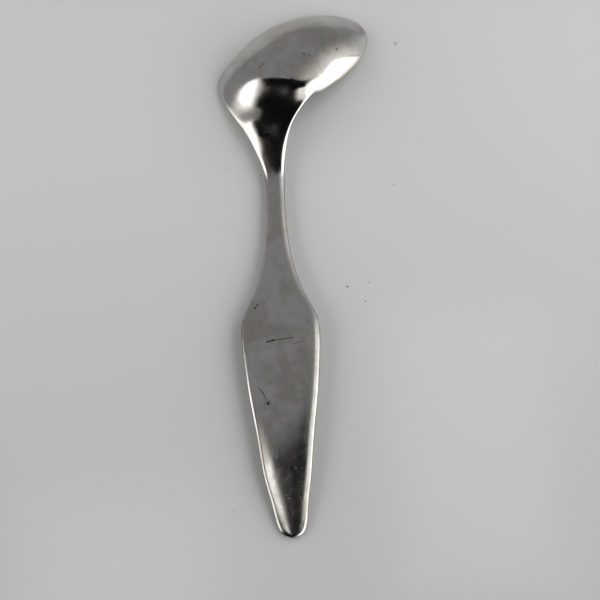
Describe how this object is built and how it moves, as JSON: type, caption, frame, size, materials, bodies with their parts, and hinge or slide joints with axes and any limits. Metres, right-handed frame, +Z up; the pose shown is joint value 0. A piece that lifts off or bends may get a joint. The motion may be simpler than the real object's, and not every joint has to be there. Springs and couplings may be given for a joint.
{
  "type": "serving spoon",
  "caption": "One-piece metal sauce spoon with a flat leaf-shaped handle, a narrow neck and an oval bowl turned to one side, lying back up.",
  "frame": {"origin": "middle of the base of the spoon's box, on the table that it lies on, back up", "axes": "+Y along the handle from its tip to the bowl, +Z up out of the spoon's back, +X to the side that the bowl is turned to"},
  "size_m": [0.0448, 0.1542, 0.0129],
  "materials": {
    "worn_metal": "polished once, now worn to a fine satin with light scratches and a faint grey-brown tarnish"
  },
  "bodies": {
    "root": {"spoon": "worn_metal"}
  },
  "joints": []
}
